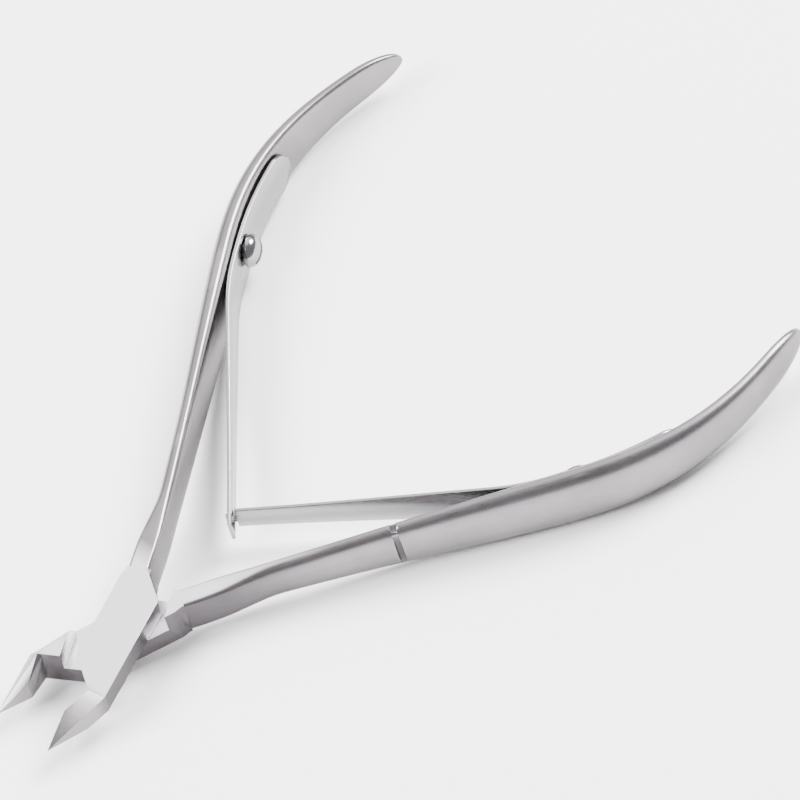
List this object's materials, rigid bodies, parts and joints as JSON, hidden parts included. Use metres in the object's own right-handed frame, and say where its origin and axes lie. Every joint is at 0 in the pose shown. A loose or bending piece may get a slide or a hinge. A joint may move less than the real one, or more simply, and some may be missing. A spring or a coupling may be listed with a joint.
{
  "type": "cuticle nipper",
  "caption": "Steel cuticle nipper: two levers cross at a lap joint, pointed jaws on one side, long bowed handles on the other, held open by interlocking leaf springs.",
  "frame": {"origin": "on the pivot axis, in the flat back face of the lap joint", "axes": "+X along the bisector of the open handles, towards their tips; +Y towards the front lever's handle; +Z along the pivot, out of the joint's front face"},
  "size_m": [0.1067, 0.0824, 0.009],
  "materials": {
    "forged_steel": "satin ground stainless steel, with a fine grain along the handles and a brighter ground face on the joint",
    "spring_steel": "rolled and tempered spring strip, smooth satin",
    "screw_steel": "turned and polished steel"
  },
  "bodies": {
    "rear_lever": {"rear_lever": "forged_steel", "rear_spring_screw": "screw_steel"},
    "front_lever": {"front_lever": "forged_steel", "pivot_screw": "screw_steel", "front_spring_screw": "screw_steel"},
    "front_leaf": {"front_leaf_spring": "spring_steel"},
    "rear_leaf": {"rear_leaf_spring": "spring_steel"}
  },
  "joints": [
    {"name": "pivot", "type": "hinge", "parent": "rear_lever", "child": "front_lever", "pos_m": [0, 0, 0.0027], "axis": [0, 0, -1], "range_deg": [0, 30], "stiffness_Nm_per_rad": 0.5, "springref_deg": -20.05},
    {"name": "front_leaf_bend", "type": "hinge", "parent": "front_lever", "child": "front_leaf", "pos_m": [0.05352, 0.03226, 0.0027], "axis": [0, 0, -1], "range_deg": [0, 12], "deforming": ["front_leaf_spring"]},
    {"name": "rear_leaf_bend", "type": "hinge", "parent": "rear_lever", "child": "rear_leaf", "pos_m": [0.05352, -0.03226, 0.0027], "axis": [0, 0, 1], "range_deg": [0, 12], "deforming": ["rear_leaf_spring"]}
  ],
  "couplings": [
    {"joint": "front_leaf_bend", "follows": "pivot", "ratio": 0.33},
    {"joint": "rear_leaf_bend", "follows": "pivot", "ratio": 0.243}
  ]
}
